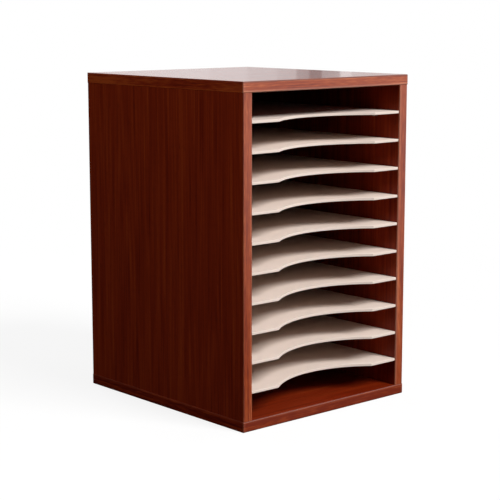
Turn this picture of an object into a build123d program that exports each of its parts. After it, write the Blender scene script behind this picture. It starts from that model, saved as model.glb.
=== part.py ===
"""Desktop literature organizer: a laminated cabinet with ten pull-out shelves.

Millimetres. The origin is the centre of the base, +X to the right as seen from the front,
+Y to the back, +Z up. The cabinet is open at the front, on the -Y side.
"""
from build123d import *
import os

# Overall size of the cabinet
width = 269.9
depth = 301.6
height = 406.4

# Four boards of one thickness: the top and bottom boards run over the ends of the side boards
board_thickness = 12.7

# Rounded bands glued on the front edges of the four boards
front_band_thickness = 2.0
front_band_rounding = 1.2
front_band_end_rounding = 0.5

# Thin bands glued on the ends of the top and bottom boards, which stand proud of the side boards
end_band_thickness = 0.5
end_band_rounding = 0.3

# Back board, held all round in a groove
back_thickness = 3.2
back_inset = 6.0
groove_depth = 4.0
groove_play = 0.15
groove_end_play = 0.5

# Wood dowels between the side boards and the top and bottom boards
dowel_diameter = 6.0
dowel_play = 0.05
dowel_end_play = 0.5
dowel_chamfer = 0.8
dowel_in_top_or_bottom = 8.0
dowel_in_side = 16.0
dowels_per_joint = 3
dowel_end_distance = 40.0

# Shelves, with a finger scoop in the front edge
shelf_count = 10
shelf_thickness = 3.175
shelf_side_play = 0.6
shelf_front_recess = 1.2
shelf_back_gap = 0.5
scoop_width = 158.0
scoop_depth = 28.0

# Steel pins under the shelves, four to a shelf, in blind holes in the side boards
pin_diameter = 5.0
pin_play = 0.05
pin_length = 16.0
pin_hole_depth = 9.0
pin_end_play = 0.3
pin_chamfer = 0.6
pin_setback = 37.0
pin_to_shelf = 0.2

# Places that follow from the sizes
front = -depth / 2
rear = depth / 2
board_front = front + front_band_thickness
board_depth = depth - front_band_thickness
board_middle = (board_front + rear) / 2
board_length = width - 2 * end_band_thickness
side_outer = board_length / 2
side_inner = side_outer - board_thickness
side_middle = (side_outer + side_inner) / 2
inner_bottom = board_thickness
inner_top = height - board_thickness
inner_height = inner_top - inner_bottom
inner_middle = height / 2

back_front = rear - back_inset - back_thickness
back_middle = back_front + back_thickness / 2
back_width = 2 * (side_inner + groove_depth - groove_end_play)
back_height = inner_height + 2 * (groove_depth - groove_end_play)
groove_width = back_thickness + 2 * groove_play
groove_length = 2 * (side_inner + groove_depth)

dowel_radius = dowel_diameter / 2
dowel_hole_radius = dowel_radius + dowel_play
dowel_pitch = (board_depth - 2 * dowel_end_distance) / (dowels_per_joint - 1)
dowel_hole_in_board = dowel_in_top_or_bottom + dowel_end_play
dowel_hole_in_side = dowel_in_side + dowel_end_play

compartment_height = (inner_height - shelf_count * shelf_thickness) / (shelf_count + 1)
shelf_pitch = compartment_height + shelf_thickness
shelf_bottoms = [inner_bottom + compartment_height + shelf_pitch * row for row in range(shelf_count)]
shelf_half_width = side_inner - shelf_side_play
shelf_front = front + shelf_front_recess
shelf_rear = back_front - shelf_back_gap

pin_radius = pin_diameter / 2
pin_hole_radius = pin_radius + pin_play
pin_outer_end = side_inner + pin_hole_depth - pin_end_play
front_pin = board_front + pin_setback
rear_pin = back_front - pin_setback
pin_spots = [(y, bottom - pin_to_shelf - pin_radius) for bottom in shelf_bottoms for y in (front_pin, rear_pin)]

os.makedirs("parts", exist_ok=True)


def save(part, name):
    """Labels a finished piece and writes it to its own file."""
    part.label = name
    export_step(part, f"parts/{name}.step")


# Top and bottom boards: a groove for the back board and holes for the dowels, all from the inner face
for name, inner_face, outward in (("bottom_panel", inner_bottom, -1), ("top_panel", inner_top, 1)):
    inner_plane = Plane.XY.offset(inner_face)
    with BuildPart() as board:
        with BuildSketch(inner_plane):
            with Locations((0, board_middle)):
                Rectangle(board_length, board_depth)
        extrude(amount=outward * board_thickness)
        with BuildSketch(inner_plane):
            with Locations((0, back_middle)):
                Rectangle(groove_length, groove_width)
        extrude(amount=outward * groove_depth, mode=Mode.SUBTRACT)
        with BuildSketch(inner_plane):
            with Locations((0, board_middle)):
                with GridLocations(2 * side_middle, dowel_pitch, 2, dowels_per_joint):
                    Circle(dowel_hole_radius)
        extrude(amount=outward * dowel_hole_in_board, mode=Mode.SUBTRACT)
    save(board.part, name)

# Side boards: a groove for the back board, rows of pin holes, and dowel holes in both ends
for name, outward in (("left_side_panel", -1), ("right_side_panel", 1)):
    inner_plane = Plane.YZ.offset(outward * side_inner)
    with BuildPart() as board:
        with BuildSketch(inner_plane):
            with Locations((board_middle, inner_middle)):
                Rectangle(board_depth, inner_height)
        extrude(amount=outward * board_thickness)
        with BuildSketch(inner_plane):
            with Locations((back_middle, inner_middle)):
                Rectangle(groove_width, inner_height)
        extrude(amount=outward * groove_depth, mode=Mode.SUBTRACT)
        with BuildSketch(inner_plane):
            with Locations(*pin_spots):
                Circle(pin_hole_radius)
        extrude(amount=outward * pin_hole_depth, mode=Mode.SUBTRACT)
        for end, inward in ((inner_bottom, 1), (inner_top, -1)):
            with BuildSketch(Plane.XY.offset(end)):
                with Locations((outward * side_middle, board_middle)):
                    with GridLocations(0, dowel_pitch, 1, dowels_per_joint):
                        Circle(dowel_hole_radius)
            extrude(amount=inward * dowel_hole_in_side, mode=Mode.SUBTRACT)
    save(board.part, name)

# Back board
with BuildPart() as back_panel:
    with BuildSketch(Plane.XZ.offset(-back_front)):
        with Locations((0, inner_middle)):
            Rectangle(back_width, back_height)
    extrude(amount=-back_thickness)
save(back_panel.part, "back_panel")

# Front bands on the top and bottom boards, as long as the cabinet is wide
for name, level in (("bottom_front_band", board_thickness / 2), ("top_front_band", height - board_thickness / 2)):
    with BuildPart() as band:
        with BuildSketch(Plane.YZ) as profile:
            with Locations((board_front, level)):
                Rectangle(front_band_thickness, board_thickness, align=(Align.MAX, Align.CENTER))
            fillet(profile.vertices().group_by(Axis.X)[0], front_band_rounding)
        extrude(amount=width / 2, both=True)
        for end in (band.faces().sort_by(Axis.X)[0], band.faces().sort_by(Axis.X)[-1]):
            fillet(end.edges().sort_by(Axis.Y)[:-1], front_band_end_rounding)
    save(band.part, name)

# Front bands on the side boards, between the other two
for name, side in (("left_front_band", -1), ("right_front_band", 1)):
    with BuildPart() as band:
        with BuildSketch(Plane.XY.offset(inner_bottom)) as profile:
            with Locations((side * side_middle, board_front)):
                Rectangle(board_thickness, front_band_thickness, align=(Align.CENTER, Align.MAX))
            fillet(profile.vertices().group_by(Axis.Y)[0], front_band_rounding)
        extrude(amount=inner_height)
    save(band.part, name)

# End bands on the top and bottom boards, with their outer long edges eased
for level_name, level in (("bottom", board_thickness / 2), ("top", height - board_thickness / 2)):
    for side_name, side in (("left", -1), ("right", 1)):
        with BuildPart() as band:
            with BuildSketch(Plane.YZ.offset(side * side_outer)):
                with Locations((board_middle, level)):
                    Rectangle(board_depth, board_thickness)
            extrude(amount=side * end_band_thickness)
            outer_face = band.faces().sort_by(Axis.X)[-1 if side > 0 else 0]
            fillet(outer_face.edges().filter_by(Axis.Y), end_band_rounding)
        save(band.part, f"{level_name}_{side_name}_end_band")

# Dowels, three at each corner of the cabinet
with BuildPart() as joint_dowels:
    for inner_face, outward in ((inner_bottom, -1), (inner_top, 1)):
        with BuildSketch(Plane.XY.offset(inner_face + outward * dowel_in_top_or_bottom)):
            with Locations((0, board_middle)):
                with GridLocations(2 * side_middle, dowel_pitch, 2, dowels_per_joint):
                    Circle(dowel_radius)
        extrude(amount=-outward * (dowel_in_top_or_bottom + dowel_in_side))
    chamfer(joint_dowels.edges().filter_by(GeomType.CIRCLE), dowel_chamfer)
save(joint_dowels.part, "joint_dowels")

# Pins that carry the shelves
with BuildPart() as shelf_pins:
    for side in (-1, 1):
        with BuildSketch(Plane.YZ.offset(side * pin_outer_end)):
            with Locations(*pin_spots):
                Circle(pin_radius)
        extrude(amount=-side * pin_length)
    chamfer(shelf_pins.edges().filter_by(GeomType.CIRCLE), pin_chamfer)
save(shelf_pins.part, "shelf_pins")

# Shelves, numbered from the bottom, each with its finger scoop
for number, bottom in enumerate(shelf_bottoms, start=1):
    with BuildPart() as shelf:
        with BuildSketch(Plane.XY.offset(bottom)):
            with BuildLine():
                scoop = ThreePointArc(
                    (-scoop_width / 2, shelf_front),
                    (0, shelf_front + scoop_depth),
                    (scoop_width / 2, shelf_front),
                )
                Polyline(
                    scoop @ 1,
                    (shelf_half_width, shelf_front),
                    (shelf_half_width, shelf_rear),
                    (-shelf_half_width, shelf_rear),
                    (-shelf_half_width, shelf_front),
                    scoop @ 0,
                )
            make_face()
        extrude(amount=shelf_thickness)
    save(shelf.part, f"shelf_{number:02d}")
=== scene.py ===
# %% [markdown]
# # A desktop literature organizer
#
# The object is a small cabinet of dark red-brown wood-grain laminate, open at the front, with ten thin
# cream shelves. It holds no soft parts, so nearly everything that the eye judges is in the finishes:
# a printed grain that runs the right way on each board, rounded edge bands that catch the light, and
# painted fibreboard shelves. The CAD model gives every piece its size and place, and this lesson
# dresses it.
#
# The first cell loads the CAD model. Its objects stay where they are, and only their materials change.
# The box of the whole model is kept now, for the later steps that measure from it.

# %% Load the model
import math

import bpy
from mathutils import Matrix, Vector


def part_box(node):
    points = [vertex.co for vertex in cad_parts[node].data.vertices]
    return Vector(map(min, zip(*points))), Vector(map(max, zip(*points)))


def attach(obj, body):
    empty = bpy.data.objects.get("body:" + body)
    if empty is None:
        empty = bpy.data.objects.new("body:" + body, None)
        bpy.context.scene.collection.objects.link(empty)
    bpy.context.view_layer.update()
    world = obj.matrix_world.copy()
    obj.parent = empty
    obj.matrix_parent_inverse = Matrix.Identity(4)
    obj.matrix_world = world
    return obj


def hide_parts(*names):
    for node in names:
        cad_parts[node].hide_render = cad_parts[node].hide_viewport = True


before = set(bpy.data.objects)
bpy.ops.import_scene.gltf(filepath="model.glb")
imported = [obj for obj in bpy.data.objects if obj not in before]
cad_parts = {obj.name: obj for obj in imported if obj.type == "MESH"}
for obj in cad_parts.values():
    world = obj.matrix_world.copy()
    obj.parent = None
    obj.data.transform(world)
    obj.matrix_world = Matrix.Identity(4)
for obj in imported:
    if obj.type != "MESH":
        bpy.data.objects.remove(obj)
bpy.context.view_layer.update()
cabinet_low, cabinet_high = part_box("bottom_panel")[0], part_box("top_panel")[1]

# %% [markdown]
# ## The camera
#
# A camera is the first thing to settle, because every later choice is judged through it. The angles
# and the lens come from lines of the cabinet in the picture: seven of its corners and the front edges
# of its shelves fix where the camera stood. It looks at the cabinet from the left, a little above the
# top board. Blender's camera looks down its own -Z, so a camera that looks level along +Y is turned 90
# degrees about X. Its elevation takes some of that turn away, and its azimuth turns it about Z.

# %% Camera
camera_place = (-1.1946, -1.3663, 0.4885)
camera_azimuth = math.radians(-41.34)
camera_elevation = math.radians(9.59)
camera_lens = 103.57

camera_data = bpy.data.cameras.new("camera")
camera_data.lens = camera_lens
camera_data.sensor_width = 36.0
camera_data.clip_end = 50.0
camera = bpy.data.objects.new("camera", camera_data)
camera.location = camera_place
camera.rotation_euler = (math.pi / 2 - camera_elevation, 0.0, camera_azimuth)
bpy.context.scene.collection.objects.link(camera)
bpy.context.scene.camera = camera
print("camera lens", camera_lens, "mm")

# %% [markdown]
# ## Shader maths as plain expressions
#
# A finish is a tree of nodes, and most of those nodes are small sums. Wiring them by hand hides the
# idea, so a `Wire` wraps an output socket and lets Python's own operators add the Math nodes:
# `1 - mask` or `streak * 0.3` reads as it would on a blackboard. Everything that isn't a sum comes from
# one method, `Finish.node`, which takes the node's type, its settings and its inputs.

# %% Wires
class Wire:
    """A shader socket that Python's operators can work on."""

    def __init__(self, finish, socket):
        self.finish = finish
        self.socket = socket

    def __add__(self, other):
        return self.finish.math("ADD", self, other)

    def __radd__(self, other):
        return self.finish.math("ADD", other, self)

    def __sub__(self, other):
        return self.finish.math("SUBTRACT", self, other)

    def __rsub__(self, other):
        return self.finish.math("SUBTRACT", other, self)

    def __mul__(self, other):
        return self.finish.math("MULTIPLY", self, other)

    def __rmul__(self, other):
        return self.finish.math("MULTIPLY", other, self)

    def __gt__(self, other):
        return self.finish.math("GREATER_THAN", self, other)


print("a wire answers to + - * >")

# %% [markdown]
# On the real object a finish is a film, a print or a coat. In Blender it is a material, a tree of nodes
# that ends in one shader. Each could be drawn in the node editor, but then nobody could read it here.
# One small class holds the tree, so that a finish reads from top to bottom like a recipe.

# %% Finishes
class Finish:
    """One material, and the nodes that make it."""

    def __init__(self, name):
        self.material = bpy.data.materials.new(name)
        self.material.use_nodes = True
        self.tree = self.material.node_tree
        self.tree.nodes.clear()

    def node(self, kind, settings=None, inputs=None, output=0):
        """Adds any node: its settings first, then the values or wires of its sockets."""
        made = self.tree.nodes.new("ShaderNode" + kind)
        for key, value in (settings or {}).items():
            setattr(made, key, value)
        for key, value in (inputs or {}).items():
            if isinstance(value, Wire):
                self.tree.links.new(value.socket, made.inputs[key])
            else:
                made.inputs[key].default_value = value
        return Wire(self, made.outputs[output])

    def math(self, operation, *values):
        return self.node("Math", {"operation": operation}, dict(enumerate(values)))

    def show(self, shader):
        """Sends a shader to the material's surface."""
        output = self.tree.nodes.new("ShaderNodeOutputMaterial")
        self.tree.links.new(shader.socket, output.inputs["Surface"])
        return self.material


print("a finish has", [name for name in vars(Finish) if not name.startswith("_")])

# %% [markdown]
# ## Words for patterns
#
# Real boards are described in millimetres: a pore is a third of a millimetre wide and a centimetre
# long. So the object's own coordinates, which are in metres, are turned into millimetres once, and the
# size of each pattern is given as the distance over which it changes, across the grain and along it.
# `streaks` does that with one noise texture that is squeezed more across the grain than along it.

# %% Places and noise
MM = 0.001


def place_in_mm(finish):
    """The point being shaded, in millimetres, in the object's own space."""
    metres = finish.node("TexCoord", output="Object")
    return finish.node("VectorMath", {"operation": "SCALE"}, {0: metres, "Scale": 1 / MM})


def stretched(finish, place, axis, across, along):
    """A place squeezed so that noise of scale 1 changes over `across` mm, or `along` mm on one axis."""
    factors = [1 / across] * 3
    factors["XYZ".index(axis)] = 1 / along
    return finish.node("VectorMath", {"operation": "MULTIPLY"}, {0: place, 1: factors})


def noise(finish, place, detail=2.0, roughness=0.5):
    """Soft noise from 0 to 1, with its middle at 0.5."""
    return finish.node("TexNoise", inputs={
        "Vector": place,
        "Scale": 1.0,
        "Detail": detail,
        "Roughness": roughness,
    })


def streaks(finish, place, axis, across, along, detail=2.0):
    return noise(finish, stretched(finish, place, axis, across, along), detail)


print("one millimetre is", MM, "m")

# %% [markdown]
# A pattern becomes a look in three ways: it is cut into a soft step, it blends two colours, or it lifts
# the surface by a few hundredths of a millimetre. A Color Ramp could do the first two at once, but a
# Map Range and a Mix take wires at both ends, so patterns can steer one another. Colours are written
# as a screen shows them, because nobody sees in the linear numbers that shaders use.

# %% Steps, blends and relief
def smooth(finish, value, low, high):
    """0 below low, 1 above high, and a soft step between."""
    return finish.node("MapRange", {"interpolation_type": "SMOOTHSTEP"}, {0: value, 1: low, 2: high})


def blend(finish, factor, first, second):
    """One colour turning into another."""
    return finish.node("Mix", {"data_type": "RGBA"}, {0: factor, 6: first, 7: second}, output=2)


def coordinate(finish, vector, axis):
    return finish.node("SeparateXYZ", inputs={0: vector}, output=axis)


def bump(finish, height, distance_mm):
    """A normal for small relief: height 1 stands `distance_mm` above height 0."""
    return finish.node("Bump", inputs={"Strength": 1.0, "Distance": distance_mm * MM, "Height": height})


def linear(red, green, blue):
    """A colour written as it looks on a screen, 0 to 255, in the linear form that shaders use."""
    def channel(value):
        value /= 255
        return value / 12.92 if value <= 0.04045 else ((value + 0.055) / 1.055) ** 2.4
    return (channel(red), channel(green), channel(blue), 1.0)


print("screen grey 128 is linear", round(linear(128, 128, 128)[0], 3))

# %% [markdown]
# ## Wood grain for the laminate
#
# The boards are particle board with a printed mahogany-like laminate on their faces. The print has
# five scales of pattern, and each is one noise, because a grain is mostly streaks: a broad ribbon of
# lighter and darker wood, growth lines that run in long slow curves, lines a few millimetres apart,
# fine streaks between them, and short dark pores. The growth lines come from one smooth noise cut into
# steps by a sine, as the contour lines of a hill are, so that they bend and close like the real ones.
# The grain's axis is an input, because it runs up the side boards and across the top and bottom.

# %% The grain pattern
contours_per_hill = 70.0


def mahogany_grain(finish, place, axis):
    """(colour from 0 dark to 1 light, pores from 0 to 1) of the printed grain."""
    ribbon = streaks(finish, place, axis, 30, 900, detail=1.0)
    hill = streaks(finish, place, axis, 40, 620, detail=1.0)
    growth = finish.math("SINE", hill * contours_per_hill) * 0.5 + 0.5
    lines = streaks(finish, place, axis, 3.4, 200, detail=2.0)
    fine = streaks(finish, place, axis, 1.3, 90, detail=3.0)
    pore_noise = streaks(finish, place, axis, 0.42, 11, detail=1.0)
    pores = smooth(finish, pore_noise, 0.60, 0.72)
    tone = ribbon * 0.12 + growth * 0.08 + lines * 0.42 + fine * 0.52 - 0.07
    return tone, pores


board_inks = {
    "dark": linear(88, 15, 3),
    "middle": linear(129, 38, 10),
    "light": linear(162, 68, 24),
    "pore": linear(56, 9, 2),
}
# Partly painted light: the front bands take a lighter ink than the boards and the end bands, which carries
# part of the brighter light on the front.
band_inks = {
    "dark": linear(117, 37, 14),
    "middle": linear(153, 64, 28),
    "light": linear(192, 105, 63),
    "pore": linear(84, 26, 11),
}


def mahogany_colour(finish, tone, pores, inks):
    body = blend(finish, smooth(finish, tone, 0.22, 0.58), inks["dark"], inks["middle"])
    body = blend(finish, smooth(finish, tone, 0.50, 0.86), body, inks["light"])
    return blend(finish, pores * 0.55, body, inks["pore"])


print("inks in each print", list(board_inks))

# %% [markdown]
# ## The boards
#
# Each board shows laminate on its faces, but its back edge is bare: there the saw cut through the
# particle core shows, pale chips of many sizes pressed together. One material can say both, because
# the bare edge is the only place on a board that lies as far back as the cabinet goes. The chips are
# the cells of a Voronoi texture, flattened as pressing flattens them.

# %% Bare particle board
def chip_core(finish, place):
    """(colour, height) of bare particle board."""
    flat = stretched(finish, place, "Z", 2.6, 1.0)
    shade = finish.node("TexVoronoi", {"feature": "F1", "distance": "EUCLIDEAN"}, {
        "Vector": flat,
        "Scale": 1.0,
        "Randomness": 1.0,
    }, "Color")
    hole = Wire(finish, shade.socket.node.outputs["Distance"])
    pick = coordinate(finish, shade, 0)
    colour = blend(finish, pick, linear(168, 122, 82), linear(218, 178, 132))
    colour = blend(finish, smooth(finish, hole, 0.55, 0.95), colour, linear(112, 74, 46))
    return colour, 1 - hole


bare_skin = 0.05
bare_edge = cabinet_high.y / MM - bare_skin
print("bare edge from y =", round(bare_edge, 2), "mm")

# %% [markdown]
# The print could be an image wrapped round each board, with seams to hide. A procedural finish needs
# no wrapping: it asks where each point lies in the solid, so the grain meets the edges of a board as it
# does in real wood. The top and bottom boards have a clear coat over the print, which mirrors the
# surround when it is seen at a low angle. The sides shine less. The pores are sunk a little, and the
# roughness drifts along the grain, because a real film is never equally smooth.

# %% Laminated boards
def laminated_board(name, axis, lacquer=0.0):
    """The finish of a board whose grain runs along one axis, under a clear lacquer or none."""
    finish = Finish(name)
    place = place_in_mm(finish)
    tone, pores = mahogany_grain(finish, place, axis)
    wood = mahogany_colour(finish, tone, pores, board_inks)
    bare = coordinate(finish, place, 1) > bare_edge
    chips, chip_height = chip_core(finish, place)
    sheen = streaks(finish, place, axis, 9, 60, detail=2.0)
    roughness = 0.28 + sheen * 0.10 + pores * 0.12 + bare * 0.42
    height = (1 - pores * 0.6 - sheen * 0.15) * (1 - bare) + chip_height * bare * 4
    return finish.show(finish.node("BsdfPrincipled", inputs={
        "Base Color": blend(finish, bare, wood, chips),
        "Roughness": roughness,
        "Specular IOR Level": 0.15,
        "Coat Weight": (1 - bare) * lacquer,
        "Coat Roughness": 0.12,
        "Coat IOR": 1.4,
        "Normal": bump(finish, height, 0.03),
    }))


side_laminate = laminated_board("side_laminate", "Z")
level_laminate = laminated_board("level_laminate", "X", lacquer=0.72)
print(side_laminate.name, "nodes", len(side_laminate.node_tree.nodes))

# %% [markdown]
# A CAD board keeps its mesh, and a new finish only takes the place of the material in its first slot.
# The grain runs up the side boards and across the other two, so two materials serve four boards.

# %% Dress the boards
board_finishes = {
    "left_side_panel": side_laminate,
    "right_side_panel": side_laminate,
    "top_panel": level_laminate,
    "bottom_panel": level_laminate,
}


def dress(node, material):
    """Gives a CAD piece a finish."""
    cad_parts[node].data.materials.clear()
    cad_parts[node].data.materials.append(material)


for node, material in board_finishes.items():
    dress(node, material)
print("laminated boards", len(board_finishes))

# %% [markdown]
# ## The edge bands
#
# The front edges are covered with 2 mm bands whose long edges are rounded, and the ends of the top and
# bottom boards with a thin band of the same print. The bands show a shorter, livelier print than the
# boards. Where the trimming knife ran along their inner edges the plastic is a shade paler on a narrow
# strip, and that pale line, partly the knife's mark and partly a painted highlight, draws the outline of
# the opening. It is painted strongest on the right and at the top, and only in part on the left, at the
# bottom, and on the ends of the bands that lie across. The strip is where a point lies near the inner
# edge of the front's frame. The frame is the same on both sides of its middle, so the strip is found by
# the distance from the middle. It could be painted on by hand, but a rule in millimetres stays right
# when a size is changed.

# %% Where the knife ran, and the painted highlight
frame_face_width = 12.7
scrape_and_highlight_width = 3.2
# The pale strip is partly a painted highlight; these are its shares of full strength on the left, at the
# bottom and on the band ends.
left_strip = 0.4
bottom_strip = 0.3
end_strip = 0.3


def near(finish, gap):
    """1 where the gap to an edge is small, falling to 0 across the pale strip of knife marks and painted
    highlight.
    """
    return smooth(finish, gap, scrape_and_highlight_width, scrape_and_highlight_width * 0.4)


def front_scrape_and_highlight(finish, place, axis):
    """Where the pale strip of knife marks and painted highlight lies on a front band: its inner edge, and
    the ends of the bands that lie across.
    """
    across = coordinate(finish, place, 0)
    sideways = finish.math("ABSOLUTE", across)
    if axis == "Z":
        opening_side = -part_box("left_front_band")[0].x / MM - frame_face_width
        return near(finish, sideways - opening_side) * (left_strip + (across > 0) * (1 - left_strip))
    half_height = cabinet_high.z / 2 / MM
    upward = coordinate(finish, place, 2) - half_height
    inner_edge = finish.math("ABSOLUTE", upward) - (half_height - frame_face_width)
    along = near(finish, inner_edge) * (bottom_strip + (upward > 0) * (1 - bottom_strip))
    end = near(finish, cabinet_high.x / MM - sideways) * end_strip
    return finish.math("MAXIMUM", along, end)


print("scraped strip", scrape_and_highlight_width, "mm of", frame_face_width, "mm")

# %% [markdown]
# Every band is the same plastic strip in another print, so one function makes them all, and its
# arguments are what differs. One material that reads them from an attribute would do as well, but five
# plain ones are easier to look through. `light_and_shade_lift` moves the tone of one band up or down as
# painted light
# and shade: the bottom band, near the floor, is painted darkest, as shade, and the upper end band
# lighter than the lower one. `fleck` is what makes the print lively: a short streak that the boards
# don't have. The pale strip, partly knife marks and partly a painted highlight, is palest on the top
# band and warmer on the others, and `scrape_and_highlight_colour` is its colour. On the thin bands on the
# ends, a warm line under the upper edge, at the height that `rim` gives, is a painted highlight where that
# edge catches the light from above.
#
# The rounding is where the normal has turned away from straight ahead. Its pale tint, partly knife marks
# and partly a painted highlight, is painted only where it doesn't face up. Where it faces up, and along
# the cabinet's top edge, it is painted darker, as painted shade against the light from above.

# %% Edge bands
# Colours of the pale strip, partly knife marks and partly painted highlight.
pale_scrape_and_highlight = linear(214, 168, 150)
warm_scrape_and_highlight = linear(214, 142, 112)
# Colour, fade and strength of the painted highlight along the upper edge of an end band.
rim_highlight_ink = linear(214, 120, 96)
# Painted shade: how far below the cabinet's top the bands are painted darker.
top_edge_shade_width = 2.0
rim_highlight_fade = (1.6, 0.7)
rim_highlight_strength = 0.14
rounding_strength = 0.05
strip_strength = 0.24
painted_shade_strength = 0.8


def edge_band(name, axis, inks, light_and_shade_lift=0.0, rim=None, scrape_and_highlight_colour=warm_scrape_and_highlight):
    """The finish of a band: a front band, or an end band if it has a rim height in mm."""
    finish = Finish(name)
    place = place_in_mm(finish)
    tone, pores = mahogany_grain(finish, place, axis)
    fleck = streaks(finish, place, axis, 1.1, 16, detail=2.0)
    tone = (tone - 0.5) * 1.5 + (fleck - 0.5) * 0.8 + 0.5 + light_and_shade_lift
    wood = mahogany_colour(finish, tone, pores * 0.7, inks)
    normal = finish.node("NewGeometry", output="Normal")
    ahead = finish.math("ABSOLUTE", coordinate(finish, normal, 1))
    upward = smooth(finish, coordinate(finish, normal, 2), 0.2, 0.6)
    not_level = smooth(finish, ahead, 0.05, 0.25)
    rounded = smooth(finish, ahead, 0.985, 0.85) * not_level
    below_top = cabinet_high.z / MM - coordinate(finish, place, 2)
    # Painted shade: the rounding that faces up, and the top edge of the cabinet, are painted darker against
    # the light from above.
    top_edge_shade = smooth(finish, below_top, top_edge_shade_width, top_edge_shade_width / 2) * not_level
    painted_top_shade = finish.math("MAXIMUM", rounded * upward, top_edge_shade)
    # Painted highlight in part: the rounding and the inner strip are tinted paler, partly for knife marks
    # and partly for light catching them, and not where they face up.
    scrape_and_highlight_amount = rounded * rounding_strength
    if rim is None:
        scrape_and_highlight_amount = scrape_and_highlight_amount + front_scrape_and_highlight(finish, place, axis) * strip_strength
    tinted = blend(finish, scrape_and_highlight_amount * (1 - upward), wood, scrape_and_highlight_colour)
    tinted = blend(finish, painted_top_shade * painted_shade_strength, tinted, inks["pore"])
    # Painted highlight: a warm line under the upper edge of an end band, where that edge catches the light
    # from above.
    if rim is not None:
        line = smooth(finish, rim - coordinate(finish, place, 2), *rim_highlight_fade)
        tinted = blend(finish, line * rim_highlight_strength, tinted, rim_highlight_ink)
    sheen = streaks(finish, place, axis, 4, 40, detail=2.0)
    return finish.show(finish.node("BsdfPrincipled", inputs={
        "Base Color": tinted,
        "Roughness": 0.32 + sheen * 0.12 + rounded * 0.06,
        "Specular IOR Level": 0.75 if rim is None else 0.2,
        "Normal": bump(finish, 1 - pores * 0.5 - sheen * 0.3, 0.02),
    }))


bottom_board_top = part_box("bottom_panel")[1].z / MM
# The lift below is painted light and shade: the bottom band is painted darker, as shade near the floor, and
# the upper end band lighter than the lower one.
top_print = edge_band("band_along_top", "X", band_inks, scrape_and_highlight_colour=pale_scrape_and_highlight)
bottom_print = edge_band("band_along_bottom", "X", band_inks, light_and_shade_lift=-0.22)
upright_print = edge_band("band_up_front", "Z", band_inks)
upper_end_print = edge_band("band_along_upper_end", "Y", board_inks, light_and_shade_lift=0.16, rim=cabinet_high.z / MM)
lower_end_print = edge_band("band_along_lower_end", "Y", board_inks, light_and_shade_lift=-0.06, rim=bottom_board_top)
band_prints = {
    "top_front_band": top_print,
    "bottom_front_band": bottom_print,
    "left_front_band": upright_print,
    "right_front_band": upright_print,
    "top_left_end_band": upper_end_print,
    "top_right_end_band": upper_end_print,
    "bottom_left_end_band": lower_end_print,
    "bottom_right_end_band": lower_end_print,
}
for node, material in band_prints.items():
    dress(node, material)
print("edge bands", len(band_prints))

# %% [markdown]
# ## The back board
#
# The back is a thin hardboard, slid into grooves. Its inner face is smooth and dark. Its outer face
# keeps the mark of the wire screen that it was pressed on, a fine square mesh, and a mottle from the
# pulp. Real mesh could be modelled, but at this depth nobody could tell, so two crossed sines dent the
# surface instead. The two faces differ only in where they are, so the material asks how far back a
# point lies.

# %% Back board
def screen_backed_board(name, node):
    low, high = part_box(node)
    finish = Finish(name)
    place = place_in_mm(finish)
    outside = coordinate(finish, place, 1) > (low.y + high.y) / 2 / MM
    mesh_pitch = 1.6
    turn = 2 * math.pi / mesh_pitch
    weave = finish.math("SINE", coordinate(finish, place, 0) * turn) * finish.math(
        "SINE", coordinate(finish, place, 2) * turn)
    fibre = noise(finish, stretched(finish, place, "Z", 1.2, 1.2), detail=5.0, roughness=0.7)
    cloud = noise(finish, stretched(finish, place, "Z", 60, 60), detail=2.0)
    smooth_face = blend(finish, fibre, linear(76, 33, 20), linear(102, 49, 32))
    mottle = noise(finish, stretched(finish, place, "Z", 9, 9), detail=3.0)
    patchy = (fibre - 0.5) * 0.8 + (cloud - 0.5) * 0.5 + (mottle - 0.5) * 0.4 + 0.5
    screen_face = blend(finish, patchy, linear(98, 66, 42), linear(150, 108, 74))
    screen_face = blend(finish, smooth(finish, weave, 0.1, 0.9) * 0.3, screen_face, linear(70, 46, 30))
    return finish.show(finish.node("BsdfPrincipled", inputs={
        "Base Color": blend(finish, outside, smooth_face, screen_face),
        "Roughness": 0.45 + outside * 0.35 + fibre * 0.1,
        "Specular IOR Level": 0.3,
        "Normal": bump(finish, fibre * 0.4 + weave * outside, 0.08),
    }))


dress("back_panel", screen_backed_board("back_hardboard", "back_panel"))
print("back board dressed")

# %% [markdown]
# ## The dowels
#
# Twelve beech dowels hold the corners. They sit inside closed joints and never show, but they are
# pieces of their own in the library, and a bare grey one would be wrong. Their grain runs along them,
# so one streaked noise between two pale tones is enough.

# %% Dowels
def plain_wood(name, axis):
    finish = Finish(name)
    place = place_in_mm(finish)
    fine = streaks(finish, place, axis, 0.5, 12, detail=3.0)
    return finish.show(finish.node("BsdfPrincipled", inputs={
        "Base Color": blend(finish, fine, linear(196, 156, 108), linear(226, 192, 146)),
        "Roughness": 0.6 + fine * 0.2,
        "Normal": bump(finish, fine, 0.05),
    }))


dress("joint_dowels", plain_wood("dowel_beech", "Z"))
print("dowels dressed")

# %% [markdown]
# ## A helper for geometry trees
#
# The shelves and the pins repeat, and Geometry Nodes are the tool for what repeats: they build a shape
# from sizes, as a workshop drawing does. `Branch` writes such a tree with a few words for each node. It
# gives the tree named inputs that a modifier can set, it joins and welds the parts of a shape, and it
# ends by making the copies real and giving them their material.

# %% Tree-building helper
weld_distance = 0.01 * MM


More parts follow.
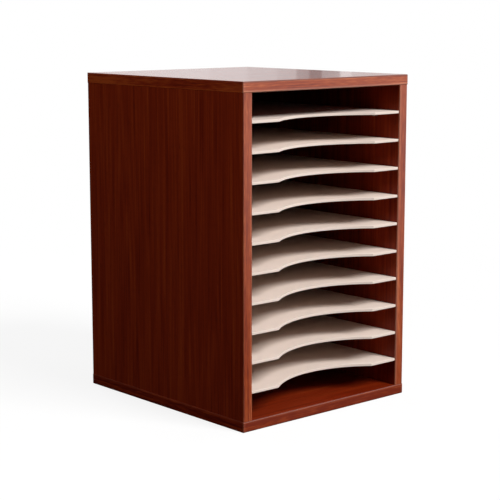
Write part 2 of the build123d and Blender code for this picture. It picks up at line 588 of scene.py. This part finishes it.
class Branch:
    """A geometry tree under construction."""

    def __init__(self, name):
        self.tree = bpy.data.node_groups.new(name, "GeometryNodeTree")
        self.tree.interface.new_socket("Geometry", in_out="OUTPUT", socket_type="NodeSocketGeometry")
        self.group_input = self.tree.nodes.new("NodeGroupInput")
        self.group_output = self.tree.nodes.new("NodeGroupOutput")

    def value(self, name, kind="NodeSocketFloat"):
        """A named input of the tree."""
        socket = self.tree.interface.new_socket(name, in_out="INPUT", socket_type=kind)
        return next(out for out in self.group_input.outputs if out.identifier == socket.identifier)

    def node(self, kind, settings=None, inputs=None, output=0):
        made = self.tree.nodes.new(kind)
        for key, value in (settings or {}).items():
            setattr(made, key, value)
        for key, value in (inputs or {}).items():
            target = made.inputs[key]
            for source in value if isinstance(value, list) else [value]:
                if isinstance(source, bpy.types.NodeSocket):
                    self.tree.links.new(source, target)
                else:
                    target.default_value = source
        return made.outputs[output]

    def math(self, operation, *values):
        return self.node("ShaderNodeMath", {"operation": operation}, dict(enumerate(values)))

    def point(self, x, y, z):
        return self.node("ShaderNodeCombineXYZ", inputs={0: x, 1: y, 2: z})

    def moved(self, geometry, x, y, z):
        offset = self.point(x, y, z)
        return self.node("GeometryNodeTransform", inputs={"Geometry": geometry, "Translation": offset})

    def welded(self, parts):
        """Joins parts, and makes one point of those that meet."""
        loose = self.node("GeometryNodeJoinGeometry", inputs={0: parts})
        return self.node("GeometryNodeMergeByDistance", inputs={
            "Geometry": loose,
            "Distance": weld_distance,
        })

    def finish(self, geometry, material):
        """Realizes, paints and hands over the geometry."""
        real = self.node("GeometryNodeRealizeInstances", inputs={0: geometry})
        painted = self.node("GeometryNodeSetMaterial", inputs={"Geometry": real, "Material": material})
        self.tree.links.new(painted, self.group_output.inputs[0])
        return self.tree


print("a branch has", [name for name in vars(Branch) if not name.startswith("_")])

# %% [markdown]
# ## The shelves' paint
#
# The shelves are hardboard under a cream coat. It is almost plain, and what makes it read as paint is
# small: a slow drift of tone, the fine dimple of a roller, and on the cut edges a few level lines where
# the layers of fibre show through. The cut edges are also a shade lighter than the faces, a painted
# highlight for the light on the front edges. One flat colour would look like plastic. An edge is told
# from a face by its normal, which points sideways there.

# %% Painted hardboard
def painted_hardboard(name):
    finish = Finish(name)
    place = place_in_mm(finish)
    drift = noise(finish, stretched(finish, place, "Z", 70, 70), detail=2.0)
    dimple = noise(finish, stretched(finish, place, "Z", 0.9, 0.9), detail=2.0)
    speck_noise = noise(finish, stretched(finish, place, "Z", 2.2, 2.2), detail=1.0)
    specks = smooth(finish, speck_noise, 0.70, 0.76)
    layers = streaks(finish, place, "X", 0.35, 9, detail=2.0)
    normal = finish.node("NewGeometry", output="Normal")
    edge = smooth(finish, finish.math("ABSOLUTE", coordinate(finish, normal, 2)), 0.6, 0.3)
    face_colour = blend(finish, drift, linear(227, 210, 198), linear(236, 220, 209))
    face_colour = blend(finish, specks * 0.25, face_colour, linear(196, 174, 150))
    # Painted highlight in part: the cut edges take a slightly lighter cream than the faces; the level lines
    # in them are the fibre layers.
    edge_colour = blend(finish, layers, linear(229, 211, 199), linear(242, 225, 213))
    return finish.show(finish.node("BsdfPrincipled", inputs={
        "Base Color": blend(finish, edge, face_colour, edge_colour),
        "Roughness": 0.52 + dimple * 0.12 + edge * 0.04,
        "Specular IOR Level": 0.18,
        "Normal": bump(finish, dimple * (1 - edge) + layers * edge, 0.03),
    }))


shelf_paint = painted_hardboard("shelf_paint")
print(shelf_paint.name, "nodes", len(shelf_paint.node_tree.nodes))

# %% [markdown]
# ## The shape of a shelf
#
# A shelf is a thin board sawn to an outline, with a shallow curved scoop for the fingers in its front
# edge. The tree joins an arc, the scoop, to the straight runs of the outline, fills the closed loop,
# gives it thickness and lifts it to its level. That level is the only input that differs from shelf to
# shelf. A box with a Boolean cut would do too, but it leaves long thin faces along the scoop, which
# shade badly once the edge is eased.

# %% The shelf tree
def shelf_tree(material):
    """Draws one shelf from its sizes."""
    branch = Branch("shelf_board")
    half_width = branch.value("Half Width")
    front = branch.value("Front")
    rear = branch.value("Rear")
    level = branch.value("Level")
    thickness = branch.value("Thickness")
    scoop_half = branch.value("Scoop Half Width")
    scoop_depth = branch.value("Scoop Depth")
    steps = branch.value("Scoop Steps", "NodeSocketInt")

    def minus(value):
        return branch.math("MULTIPLY", value, -1.0)

    corners = {
        "scoop_left": branch.point(minus(scoop_half), front, 0.0),
        "front_left": branch.point(minus(half_width), front, 0.0),
        "rear_left": branch.point(minus(half_width), rear, 0.0),
        "rear_right": branch.point(half_width, rear, 0.0),
        "front_right": branch.point(half_width, front, 0.0),
        "scoop_right": branch.point(scoop_half, front, 0.0),
    }
    deepest = branch.point(0.0, branch.math("ADD", front, scoop_depth), 0.0)
    scoop = branch.node("GeometryNodeCurveArc", {"mode": "POINTS"}, {
        "Resolution": steps,
        "Start": corners["scoop_left"],
        "Middle": deepest,
        "End": corners["scoop_right"],
    })
    runs = [scoop]
    names = list(corners)
    for start, end in zip(names, names[1:]):
        runs.append(branch.node("GeometryNodeCurvePrimitiveLine", inputs={
            "Start": corners[start],
            "End": corners[end],
        }))
    loose = branch.node("GeometryNodeJoinGeometry", inputs={0: runs})
    wire = branch.node("GeometryNodeCurveToMesh", inputs={"Curve": loose})
    outline = branch.node("GeometryNodeMeshToCurve", inputs={"Mesh": branch.welded([wire])})
    face = branch.node("GeometryNodeFillCurve", {"mode": "NGONS"}, {"Curve": outline})
    lifted = branch.node("GeometryNodeExtrudeMesh", inputs={
        "Mesh": face,
        "Offset": branch.point(0.0, 0.0, 1.0),
        "Offset Scale": thickness,
    })
    underside = branch.node("GeometryNodeFlipFaces", inputs={"Mesh": face})
    board = branch.welded([lifted, underside])
    return branch.finish(branch.moved(board, 0.0, 0.0, level), material)


shelf_recipe = shelf_tree(shelf_paint)
print(shelf_recipe.name, "nodes", len(shelf_recipe.nodes))

# %% [markdown]
# ## Running a tree
#
# A tree is only a recipe until a modifier runs it. `grow` puts the tree on an empty mesh, sets its
# inputs by their identifiers, because a name alone doesn't reach a modifier's input, and turns the
# evaluated result into a plain mesh. The object that carried the modifier is then thrown away. The
# modifier could stay, but a plain mesh can be counted and measured at once.

# %% Run a tree
easing_steps = 3
sharpest_smooth_angle = math.radians(20)


def grow(name, tree, values, eased=0.0):
    """Runs a geometry tree and returns a plain mesh object."""
    carrier = bpy.data.objects.new(name + "_recipe", bpy.data.meshes.new(name + "_recipe"))
    bpy.context.scene.collection.objects.link(carrier)
    recipe = carrier.modifiers.new("recipe", "NODES")
    recipe.node_group = tree
    inputs = [item for item in tree.interface.items_tree if item.in_out == "INPUT"]
    for item in inputs:
        recipe[item.identifier] = values[item.name]
    if eased:
        ease = carrier.modifiers.new("eased_edges", "BEVEL")
        ease.width = eased
        ease.segments = easing_steps
        ease.limit_method = "ANGLE"
        ease.angle_limit = sharpest_smooth_angle
    bpy.context.view_layer.update()
    evaluated = carrier.evaluated_get(bpy.context.evaluated_depsgraph_get())
    mesh = bpy.data.meshes.new_from_object(evaluated)
    bpy.data.objects.remove(carrier)
    paint = next(material for material in mesh.materials if material)
    mesh.materials.clear()
    mesh.materials.append(paint)
    mesh.polygons.foreach_set("material_index", [0] * len(mesh.polygons))
    piece = bpy.data.objects.new(name, mesh)
    bpy.context.scene.collection.objects.link(piece)
    print(name, "faces", len(mesh.polygons))
    return piece


print("recipes run in Blender", bpy.app.version_string)

# %% [markdown]
# ## Ten shelves
#
# Each shelf lies on four pins and pulls out to the front, so each is an object that rides on a body of
# its own. Its sizes are measured on the CAD shelf that it stands for, and only the scoop is given. A
# Bevel modifier after the tree eases the edges by a third of a millimetre, as sanding before the paint
# does, and that soft edge catches the light along the scoop. Bevelling in the tree would take many
# more nodes.

# %% The ten shelves
scoop_width = 158.0 * MM
scoop_depth = 28.0 * MM
scoop_steps = 65
painted_edge_radius = 0.35 * MM

shelf_nodes = sorted(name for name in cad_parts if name.removeprefix("shelf_").isdigit())
for node in shelf_nodes:
    low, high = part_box(node)
    shelf = grow("painted_" + node, shelf_recipe, {
        "Half Width": high.x,
        "Front": low.y,
        "Rear": high.y,
        "Level": low.z,
        "Thickness": high.z - low.z,
        "Scoop Half Width": scoop_width / 2,
        "Scoop Depth": scoop_depth,
        "Scoop Steps": scoop_steps,
    }, eased=painted_edge_radius)
    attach(shelf, node + "_body")
    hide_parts(node)
print("shelves", len(shelf_nodes))

# %% [markdown]
# ## The steel of the pins
#
# Forty steel pins carry the shelves, four to a shelf, in rows up both sides. They are turned from rod
# and plated with nickel: a bright, slightly warm metal, with the faint rings that turning leaves. The
# rings could be cut into the mesh, but they are hundredths of a millimetre deep, so a noise that is
# squeezed along the pin and stretched across it draws them.

# %% Plated steel
def turned_nickel(name):
    finish = Finish(name)
    place = place_in_mm(finish)
    rings = noise(finish, stretched(finish, place, "X", 40, 0.18), detail=1.0)
    return finish.show(finish.node("BsdfPrincipled", inputs={
        "Base Color": blend(finish, rings, linear(184, 182, 176), linear(214, 212, 206)),
        "Metallic": 1.0,
        "Roughness": 0.22 + rings * 0.16,
        "Normal": bump(finish, rings, 0.01),
    }))


pin_nickel = turned_nickel("pin_nickel")
print(pin_nickel.name, "nodes", len(pin_nickel.node_tree.nodes))

# %% [markdown]
# ## The shape of the pins
#
# A pin is a short rod with a small chamfer at each end, so that it starts easily in its hole. The tree
# turns one pin from a cylinder, two short cones and two discs. It sets ten points one above the other,
# repeats that row at the four corners of a rectangle and puts a pin on each point. Forty objects could
# be placed by a loop, but they never move apart from one another, so one tree and one mesh hold them.

# %% The pin tree
def pin_tree(material):
    """Turns one pin and sets it in every hole."""
    branch = Branch("shelf_pins")
    radius = branch.value("Radius")
    length = branch.value("Length")
    chamfer = branch.value("Chamfer")
    sides = branch.value("Sides", "NodeSocketInt")
    across = branch.value("Across")
    front_to_rear = branch.value("Front To Rear")
    middle = branch.value("Middle")
    first_level = branch.value("First Level")
    pitch = branch.value("Pitch")
    rows = branch.value("Rows", "NodeSocketInt")

    end_radius = branch.math("SUBTRACT", radius, chamfer)
    far_chamfer = branch.math("SUBTRACT", length, chamfer)
    half = branch.math("MULTIPLY", length, 0.5)
    straight = branch.math("SUBTRACT", far_chamfer, chamfer)

    def cone(bottom, top):
        return branch.node("GeometryNodeMeshCone", {"fill_type": "NONE"}, {
            "Vertices": sides, "Radius Bottom": bottom, "Radius Top": top, "Depth": chamfer})

    shaft = branch.node("GeometryNodeMeshCylinder", {"fill_type": "NONE"}, {
        "Vertices": sides, "Radius": radius, "Depth": straight})
    disc = branch.node("GeometryNodeMeshCircle", {"fill_type": "NGON"}, {
        "Vertices": sides, "Radius": end_radius})
    near_disc = branch.node("GeometryNodeFlipFaces", inputs={"Mesh": disc})
    pin = branch.welded([
        near_disc,
        cone(end_radius, radius),
        branch.moved(shaft, 0.0, 0.0, half),
        branch.moved(cone(radius, end_radius), 0.0, 0.0, far_chamfer),
        branch.moved(disc, 0.0, 0.0, length),
    ])
    centred = branch.moved(pin, 0.0, 0.0, branch.math("MULTIPLY", half, -1.0))
    lying = branch.node("GeometryNodeTransform", inputs={
        "Geometry": centred, "Rotation": (0.0, math.pi / 2, 0.0)})
    column = branch.node("GeometryNodeMeshLine", inputs={
        "Count": rows, "Offset": branch.point(0.0, 0.0, pitch)})
    corners = branch.node("GeometryNodeMeshGrid", inputs={
        "Size X": across, "Size Y": front_to_rear, "Vertices X": 2, "Vertices Y": 2})
    spread = branch.moved(corners, 0.0, middle, first_level)
    columns = branch.node("GeometryNodeInstanceOnPoints", inputs={"Points": spread, "Instance": column})
    holes = branch.node("GeometryNodeRealizeInstances", inputs={0: columns})
    pins = branch.node("GeometryNodeInstanceOnPoints", inputs={"Points": holes, "Instance": lying})
    return branch.finish(pins, material)


pin_recipe = pin_tree(pin_nickel)
print(pin_recipe.name, "nodes", len(pin_recipe.nodes))

# %% [markdown]
# The rectangle and the spacing are measured on the CAD pins that the new ones stand for, so the pins
# stay in their holes if the cabinet is built to another size. They are part of the cabinet: a shelf
# slides over them and they stay.

# %% Set the pins
pin_radius = 2.5 * MM
pin_length = 16.0 * MM
pin_chamfer = 0.6 * MM
pin_sides = 24

pins_low, pins_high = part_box("shelf_pins")
first_level = pins_low.z + pin_radius
last_level = pins_high.z - pin_radius
pins = grow("nickel_shelf_pins", pin_recipe, {
    "Radius": pin_radius,
    "Length": pin_length,
    "Chamfer": pin_chamfer,
    "Sides": pin_sides,
    "Across": 2 * (pins_high.x - pin_length / 2),
    "Front To Rear": pins_high.y - pins_low.y - 2 * pin_radius,
    "Middle": (pins_high.y + pins_low.y) / 2,
    "First Level": first_level,
    "Pitch": (last_level - first_level) / (len(shelf_nodes) - 1),
    "Rows": len(shelf_nodes),
})
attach(pins, "cabinet")
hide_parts("shelf_pins")
print("pin rows", len(shelf_nodes), "from z =", round(first_level, 5), "to", round(last_level, 5))

# %% [markdown]
# ## Which ray is asking
#
# A studio is full of things that the camera sees and a reflection doesn't, or the other way round: a
# real one has cloths just outside the picture. In Blender the Light Path node says what kind of ray has
# met a surface, so that one surface can answer each kind differently.

# %% Kinds of rays
def ray_kind(finish, name):
    """1 for one kind of ray, by the name that the Light Path node gives it."""
    path = finish.tree.nodes.new("ShaderNodeLightPath")
    return Wire(finish, path.outputs[name])


def seen_directly(finish):
    """1 for the rays from the camera, and through a see-through surface."""
    return finish.math("MAXIMUM", ray_kind(finish, "Is Camera Ray"), ray_kind(finish, "Is Transmission Ray"))


def mixed(finish, factor, first, second):
    return finish.node("MixShader", inputs={0: factor, 1: first, 2: second})


print("rays told apart: camera, transmission, glossy, and the rest")

# %% [markdown]
# ## The floor
#
# The cabinet stands on a plain pale floor against white. The floor has to be white to the camera and
# still take a shadow, and it must not throw so much light up at the cabinet that its sides wash out.
# A shadow catcher would give the shadow but no reflection. So the camera sees a floor that is part
# white light and part lit surface, and all white further out. A reflection sees the lit surface close
# by and white further out, which is why the front bands look deeper in colour near the floor than at
# the top. The soft light that bounces about meets a plain grey one.

# %% Floor finish
def grey(level):
    """A shade between 0, black, and 1, white."""
    return (level, level, level, 1.0)


floor_size = 12.0
floor_white = 0.95
floor_bounce = 0.04
shadow_share = 0.15
fade_start = 0.45
fade_end = 1.3
mirrored_fade_start = 0.2
mirrored_fade_end = 2.2

floor_finish = Finish("studio_floor")
floor_place = floor_finish.node("TexCoord", output="Object")
distance = floor_finish.node("VectorMath", {"operation": "LENGTH"}, {0: floor_place}, "Value")
white_light = floor_finish.node("Emission", inputs={"Color": grey(1.0), "Strength": 1.0})
white_ground = floor_finish.node("BsdfDiffuse", inputs={"Color": grey(floor_white)})
grey_ground = floor_finish.node("BsdfDiffuse", inputs={"Color": grey(floor_bounce)})
far = smooth(floor_finish, distance, fade_start, fade_end)
whiteness = 1 - (1 - far) * shadow_share
seen_floor = mixed(floor_finish, whiteness, white_ground, white_light)
mirrored_far = smooth(floor_finish, distance, mirrored_fade_start, mirrored_fade_end)
mirrored_floor = mixed(floor_finish, mirrored_far, grey_ground, white_light)
lit_floor = mixed(floor_finish, seen_directly(floor_finish), grey_ground, seen_floor)
floor_material = floor_finish.show(
    mixed(floor_finish, ray_kind(floor_finish, "Is Glossy Ray"), lit_floor, mirrored_floor))
print(floor_material.name, "nodes", len(floor_material.node_tree.nodes))

# %% [markdown]
# Everything in the studio is flat: the floor here, and the cloths and boards in the next steps. One
# function makes them all from four corners. A Plane that is scaled and turned would do for the floor,
# but not for sheets whose corners come from the camera's line of sight.

# %% Lay the floor
def flat_sheet(name, material, corners):
    """One four-sided face in the air or on the ground, which is part of the studio."""
    mesh = bpy.data.meshes.new(name)
    mesh.from_pydata(corners, [], [(0, 1, 2, 3)])
    mesh.materials.append(material)
    sheet = bpy.data.objects.new(name, mesh)
    bpy.context.scene.collection.objects.link(sheet)
    return sheet


half_floor = floor_size / 2
floor_corners = [(x * half_floor, y * half_floor, 0.0) for x, y in ((-1, -1), (1, -1), (1, 1), (-1, 1))]
flat_sheet("studio_floor", floor_material, floor_corners)
print("floor", floor_size, "m square")

# %% [markdown]
# ## What the cabinet mirrors
#
# Half the look of a lacquered surface is what it mirrors. Here that is a set of flat sheets that only
# reflections can see. They cast no shadow, take no light away and never show. An image of a studio
# round the whole scene could do it, but a sheet says in numbers what is mirrored and where. Each is
# placed by the line from the camera to the cabinet, turned back by the surface that mirrors it.

# %% Mirrored sheets
def mirrored_sheet(name, shade, corners):
    """A sheet of one brightness that only reflections see."""
    finish = Finish(name)
    glow = finish.node("Emission", inputs={"Color": grey(1.0), "Strength": shade})
    sheet = flat_sheet(name, finish.show(glow), [tuple(corner) for corner in corners])
    sheet.visible_camera = False
    sheet.visible_diffuse = False
    sheet.visible_shadow = False
    sheet.visible_transmission = False


def standing_corners(foot, sideways, from_side, to_side, height):
    """The corners of an upright sheet between two distances sideways from a foot point."""
    upright = Vector((0.0, 0.0, height))
    left_foot, right_foot = foot + sideways * from_side, foot + sideways * to_side
    return [left_foot, right_foot, right_foot + upright, left_foot + upright]


seen_along = Vector((-math.sin(camera_azimuth), math.cos(camera_azimuth), 0.0))
print("the camera looks along", tuple(round(part, 3) for part in seen_along))

# %% [markdown]
# From this camera the left side mirrors what stands behind the cabinet on its left. In a white studio
# that lays a pale veil over the dark wood, so a studio hangs a black cloth there. Darker wood ink
# would hide the veil too, but then the wood would be wrong from every other side.

# %% The black cloth
curtain_shade = 0.012
curtain_distance = 0.9
curtain_half_width = 1.1
curtain_height = 1.5
curtain_clearance = 0.002
curtain_train = 2.0

left_along = Vector((-seen_along.x, seen_along.y, 0.0))
left_sideways = Vector((left_along.y, -left_along.x, 0.0))
curtain_foot = Vector((cabinet_low.x, 0.0, curtain_clearance)) + left_along * curtain_distance
hanging = standing_corners(
    curtain_foot, left_sideways, -curtain_half_width, curtain_half_width, curtain_height)
lying = hanging[:2] + [corner - left_along * curtain_train for corner in reversed(hanging[:2])]
mirrored_sheet("curtain_hanging", curtain_shade, hanging)
mirrored_sheet("curtain_lying", curtain_shade, lying)
print("cloth", 2 * curtain_half_width, "m wide")

# %% [markdown]
# The top board mirrors what stands straight behind it: a pale backdrop that darkens to the right, then
# one dark strip and one bright one. It is built as a row of upright strips, and each is a shade and
# the distance sideways at which it ends. A gradient on one sheet would be smoother, but the lacquer
# blurs the steps anyway, and a strip can be moved without touching the others.

# %% The backdrop
backdrop_distance = 1.6
backdrop_height = 2.2
backdrop_start = -1.4
backdrop_strips = [
    (0.95, -0.09),
    (0.88, 0.00),
    (0.79, 0.07),
    (0.70, 0.115),
    (0.46, 0.145),
    (0.26, 0.175),
    (0.50, 0.218),
    (1.00, 0.245),
    (0.78, 1.40),
]
backdrop_sideways = Vector((seen_along.y, -seen_along.x, 0.0))
backdrop_foot = seen_along * backdrop_distance
from_side = backdrop_start
for number, (shade, to_side) in enumerate(backdrop_strips):
    strip = standing_corners(backdrop_foot, backdrop_sideways, from_side, to_side, backdrop_height)
    mirrored_sheet(f"backdrop_{number}", shade, strip)
    from_side = to_side
print("backdrop strips", len(backdrop_strips))

# %% [markdown]
# ## The light
#
# The front of the cabinet is bright, brightest at the top, and its left side is in deep shade. So two
# soft windows stand in front, high and near enough that their light falls off down the front: the main
# one a little to the right, and a weaker one to the left, which grazes the side and shows its grain.
# Two more, on the right and behind, are for whoever walks round the cabinet, and reach little that
# this camera sees. They light without being mirrored, because a lacquered top that is seen at a low
# angle would show them as white patches. Area lamps are chosen because a point or a sun would draw
# hard shadows under every shelf, and a window doesn't.

# %% Lamps
def soft_window(name, place, target, size, power, mirrored=True):
    """A square area light that faces a point, and that polished surfaces mirror or don't."""
    data = bpy.data.lights.new(name, "AREA")
    data.shape = "SQUARE"
    data.size = size
    data.energy = power
    lamp = bpy.data.objects.new(name, data)
    lamp.location = place
    aim = Vector(target) - Vector(place)
    lamp.rotation_euler = aim.to_track_quat("-Z", "Y").to_euler()
    lamp.visible_glossy = mirrored
    bpy.context.scene.collection.objects.link(lamp)


cabinet_middle = (0.0, 0.0, cabinet_high.z / 2)
soft_window("main_window", (0.70, -3.10, 2.90), cabinet_middle, 1.6, 202.0)
soft_window("left_window", (-1.30, -0.20, 1.05), cabinet_middle, 0.6, 5.8)
soft_window("right_window", (1.90, -0.50, 0.80), cabinet_middle, 0.8, 9.0, mirrored=False)
soft_window("back_window", (0.20, 2.00, 1.10), cabinet_middle, 1.0, 22.0, mirrored=False)

# %% [markdown]
# The world gives the rest: a dim even light for surfaces, and white for the camera and for reflections,
# so that polished parts mirror a plain pale surround. A world that lit as brightly as it looks would
# flatten every shadow between the shelves.

# %% World
world = bpy.data.worlds.new("studio")
bpy.context.scene.world = world
world.use_nodes = True
world.node_tree.nodes.clear()


class Sky(Finish):
    """The same node helper, on the world's tree."""

    def __init__(self, world):
        self.tree = world.node_tree

    def show(self, shader):
        output = self.tree.nodes.new("ShaderNodeOutputWorld")
        self.tree.links.new(shader.socket, output.inputs["Surface"])


world_light = 0.03
sky = Sky(world)
dim = sky.node("Background", inputs={"Color": grey(1.0), "Strength": world_light})
white = sky.node("Background", inputs={"Color": grey(1.0), "Strength": 1.0})
white_rays = sky.math("MAXIMUM", seen_directly(sky), ray_kind(sky, "Is Glossy Ray"))
sky.show(mixed(sky, white_rays, dim, white))

bpy.context.scene.view_settings.view_transform = "Standard"
print("world light", world_light)
